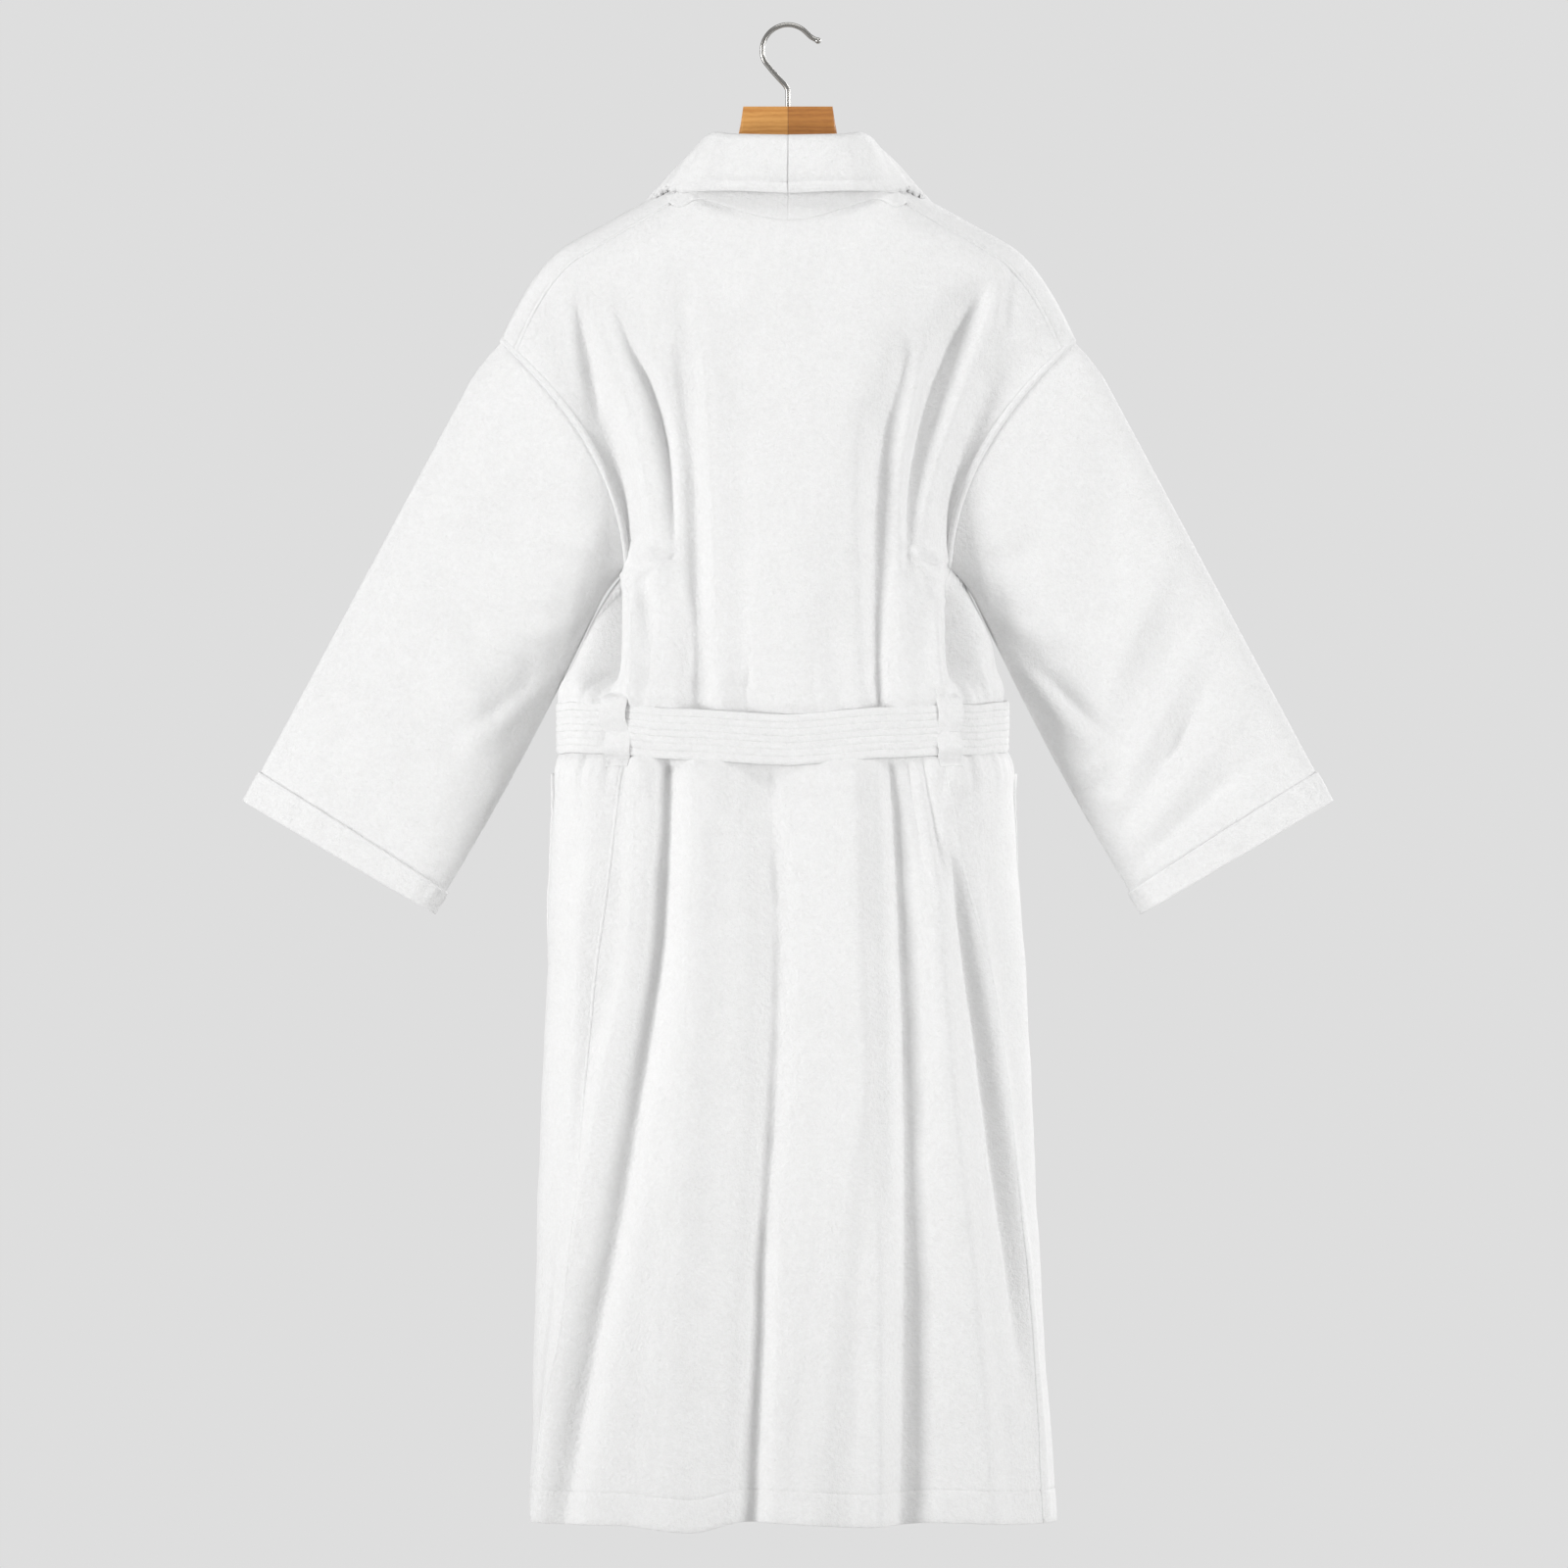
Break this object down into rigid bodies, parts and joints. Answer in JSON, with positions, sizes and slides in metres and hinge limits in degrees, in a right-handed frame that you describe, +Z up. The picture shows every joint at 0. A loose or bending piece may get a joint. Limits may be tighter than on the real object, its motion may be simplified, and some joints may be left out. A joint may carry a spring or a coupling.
{
  "type": "bathrobe",
  "caption": "Belted terry bathrobe with shawl collar, wide cuffed sleeves and patch pockets, hanging from a contoured wooden hanger with a swivelling wire hook.",
  "frame": {"origin": "the hook's seat: the point inside the top of the hook's bend that rests on a rail", "axes": "+Z up along the hook's stem, +Y the way the wearer faces, +X to the wearer's right; the hem is at the bottom"},
  "size_m": [0.998, 0.2346, 1.3744],
  "materials": {
    "velour": "soft white terry velour, short dense pile",
    "trim_tape": "white woven cotton tape",
    "hanger_wood": "clear satin lacquer over warm hardwood",
    "hook_steel": "bright drawn wire"
  },
  "bodies": {
    "hook": {"hook": "hook_steel", "hook_nut": "hook_steel"},
    "robe": {"left_hanger_arm": "hanger_wood", "right_hanger_arm": "hanger_wood", "back_panel": "velour", "left_front_panel": "velour", "right_front_panel": "velour", "back_hem": "velour", "left_front_hem": "velour", "right_front_hem": "velour", "left_front_facing": "velour", "right_front_facing": "velour", "left_collar": "velour", "right_collar": "velour", "belt": "velour", "belt_knot": "velour", "left_belt_loop": "velour", "right_belt_loop": "velour", "left_pocket": "velour", "right_pocket": "velour", "hanging_loop": "trim_tape", "neck_label": "trim_tape"},
    "left_sleeve": {"left_sleeve": "velour", "left_cuff": "velour"},
    "right_sleeve": {"right_sleeve": "velour", "right_cuff": "velour"},
    "left_belt_tail": {"left_belt_tail": "velour"},
    "right_belt_tail": {"right_belt_tail": "velour"}
  },
  "joints": [
    {"name": "hook_swivel", "type": "hinge", "parent": "hook", "child": "robe", "pos_m": [0, 0, -0.105], "axis": [0, 0, 1], "continuous": true},
    {"name": "left_sleeve_raise", "type": "hinge", "parent": "robe", "child": "left_sleeve", "pos_m": [-0.269, 0.022, -0.285], "axis": [0, 1, 0], "range_deg": [0, 40]},
    {"name": "right_sleeve_raise", "type": "hinge", "parent": "robe", "child": "right_sleeve", "pos_m": [0.269, 0.022, -0.285], "axis": [0, -1, 0], "range_deg": [0, 40]},
    {"name": "left_tail_swing", "type": "hinge", "parent": "robe", "child": "left_belt_tail", "pos_m": [-0.03, 0.1004, -0.6713], "axis": [1, 0, 0], "range_deg": [0, 70]},
    {"name": "right_tail_swing", "type": "hinge", "parent": "robe", "child": "right_belt_tail", "pos_m": [0.03, 0.1004, -0.6713], "axis": [1, 0, 0], "range_deg": [0, 70]}
  ]
}
